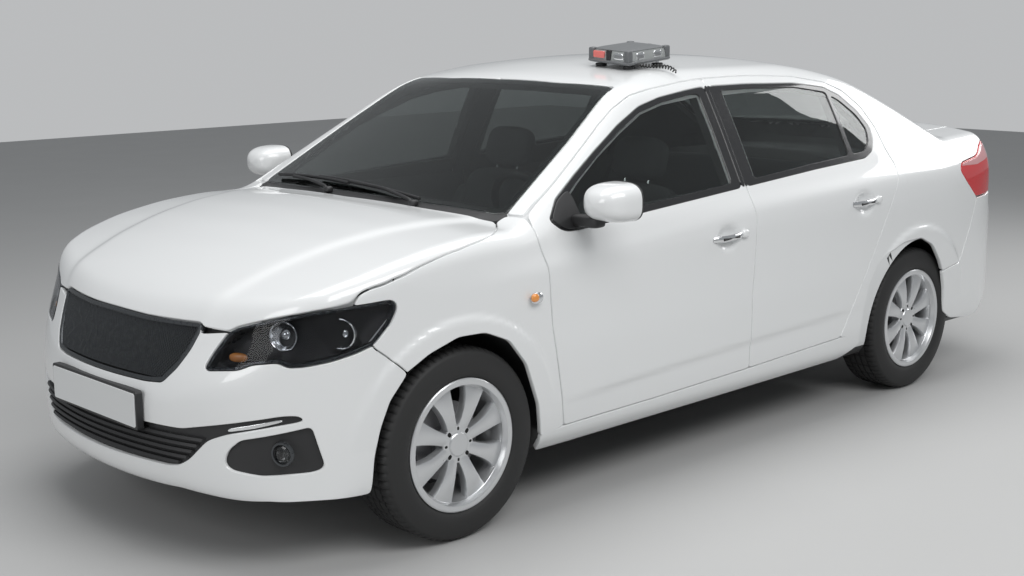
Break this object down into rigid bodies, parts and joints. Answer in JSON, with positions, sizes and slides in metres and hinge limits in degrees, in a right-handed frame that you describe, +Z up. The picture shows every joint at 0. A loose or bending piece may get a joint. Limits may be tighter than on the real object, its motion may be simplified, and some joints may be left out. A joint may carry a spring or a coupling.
{
  "type": "police saloon car",
  "caption": "Unmarked white saloon car with opening doors, bonnet and boot, steering front wheels and a magnetic police beacon on its roof.",
  "frame": {"origin": "on the road, under the middle of the car's length and width", "axes": "+X to the nose, +Y to the car's left, +Z up"},
  "size_m": [4.442, 2.11, 1.5289],
  "materials": {
    "white_paint": "glossy white paint",
    "tinted_glass": "smooth tinted glass",
    "lamp_lens": "clear moulded lens",
    "red_lens": "glossy red lens",
    "black_plastic": "fine-grained black plastic",
    "plate_face": "blank satin plate",
    "chassis_steel": "black-painted steel",
    "cast_engine": "cast, matt",
    "exhaust_steel": "dull steel",
    "seat_cloth": "grey woven cloth",
    "dash_plastic": "grained dark plastic",
    "beacon_lens": "clear and red lens panels",
    "cord_rubber": "matt black rubber",
    "tyre_rubber": "matt black rubber",
    "wheel_alloy": "silver lacquer"
  },
  "bodies": {
    "root": {"body_shell": "white_paint", "front_wings": "white_paint", "front_bumper": "white_paint", "rear_bumper": "white_paint", "headlamps": "lamp_lens", "tail_lamps": "red_lens", "screens": "tinted_glass", "grille": "black_plastic", "front_plate": "plate_face", "fog_and_side_lamps": "lamp_lens", "wipers": "black_plastic", "front_axle": "chassis_steel", "rear_axle": "chassis_steel", "engine_block": "cast_engine", "exhaust": "exhaust_steel", "front_seats": "seat_cloth", "rear_bench": "seat_cloth", "dashboard": "dash_plastic", "steering_wheel": "dash_plastic", "beacon": "beacon_lens", "beacon_cord": "cord_rubber"},
    "bonnet": {"bonnet": "white_paint"},
    "boot_lid": {"boot_lid": "white_paint", "rear_plate": "plate_face"},
    "fuel_flap": {"fuel_flap": "white_paint"},
    "door_front_left": {"door_front_left": "white_paint", "glass_front_left": "tinted_glass", "mirror_left": "white_paint"},
    "door_rear_left": {"door_rear_left": "white_paint", "glass_rear_left": "tinted_glass"},
    "door_front_right": {"door_front_right": "white_paint", "glass_front_right": "tinted_glass", "mirror_right": "white_paint"},
    "door_rear_right": {"door_rear_right": "white_paint", "glass_rear_right": "tinted_glass"},
    "knuckle_left": {"knuckle_left": "chassis_steel"},
    "knuckle_right": {"knuckle_right": "chassis_steel"},
    "wheel_front_left": {"tyre_front_left": "tyre_rubber", "rim_front_left": "wheel_alloy"},
    "wheel_front_right": {"tyre_front_right": "tyre_rubber", "rim_front_right": "wheel_alloy"},
    "wheel_rear_left": {"tyre_rear_left": "tyre_rubber", "rim_rear_left": "wheel_alloy"},
    "wheel_rear_right": {"tyre_rear_right": "tyre_rubber", "rim_rear_right": "wheel_alloy"}
  },
  "joints": [
    {"name": "door_front_left_hinge", "type": "hinge", "parent": "root", "child": "door_front_left", "pos_m": [0.975, 0.85, 0.59], "axis": [0, 0, -1], "range_deg": [0, 62]},
    {"name": "door_rear_left_hinge", "type": "hinge", "parent": "root", "child": "door_rear_left", "pos_m": [-0.08, 0.85, 0.59], "axis": [0, 0, -1], "range_deg": [0, 62]},
    {"name": "door_front_right_hinge", "type": "hinge", "parent": "root", "child": "door_front_right", "pos_m": [0.975, -0.85, 0.59], "axis": [0, 0, 1], "range_deg": [0, 62]},
    {"name": "door_rear_right_hinge", "type": "hinge", "parent": "root", "child": "door_rear_right", "pos_m": [-0.08, -0.85, 0.59], "axis": [0, 0, 1], "range_deg": [0, 62]},
    {"name": "bonnet_hinge", "type": "hinge", "parent": "root", "child": "bonnet", "pos_m": [1.112, 0, 0.966], "axis": [0, -1, 0], "range_deg": [0, 50]},
    {"name": "boot_lid_hinge", "type": "hinge", "parent": "root", "child": "boot_lid", "pos_m": [-1.612, 0, 1.066], "axis": [0, 1, 0], "range_deg": [0, 62]},
    {"name": "fuel_flap_hinge", "type": "hinge", "parent": "root", "child": "fuel_flap", "pos_m": [-1.138, 0.836, 0.9], "axis": [0, 0.1806, -0.9835], "range_deg": [0, 85]},
    {"name": "steer_left", "type": "hinge", "parent": "root", "child": "knuckle_left", "pos_m": [1.415, 0.705, 0.195], "axis": [0, -0.2178, 0.976], "range_deg": [-33, 33]},
    {"name": "steer_right", "type": "hinge", "parent": "root", "child": "knuckle_right", "pos_m": [1.415, -0.705, 0.195], "axis": [0, 0.2178, 0.976], "range_deg": [-33, 33]},
    {"name": "wheel_front_left_spin", "type": "hinge", "parent": "knuckle_left", "child": "wheel_front_left", "pos_m": [1.415, 0.7505, 0.3105], "axis": [0, 1, 0], "continuous": true},
    {"name": "wheel_front_right_spin", "type": "hinge", "parent": "knuckle_right", "child": "wheel_front_right", "pos_m": [1.415, -0.7505, 0.3105], "axis": [0, 1, 0], "continuous": true},
    {"name": "wheel_rear_left_spin", "type": "hinge", "parent": "root", "child": "wheel_rear_left", "pos_m": [-1.237, 0.739, 0.3105], "axis": [0, 1, 0], "continuous": true},
    {"name": "wheel_rear_right_spin", "type": "hinge", "parent": "root", "child": "wheel_rear_right", "pos_m": [-1.237, -0.739, 0.3105], "axis": [0, 1, 0], "continuous": true}
  ],
  "couplings": [
    {"joint": "steer_right", "follows": "steer_left", "ratio": 1}
  ]
}
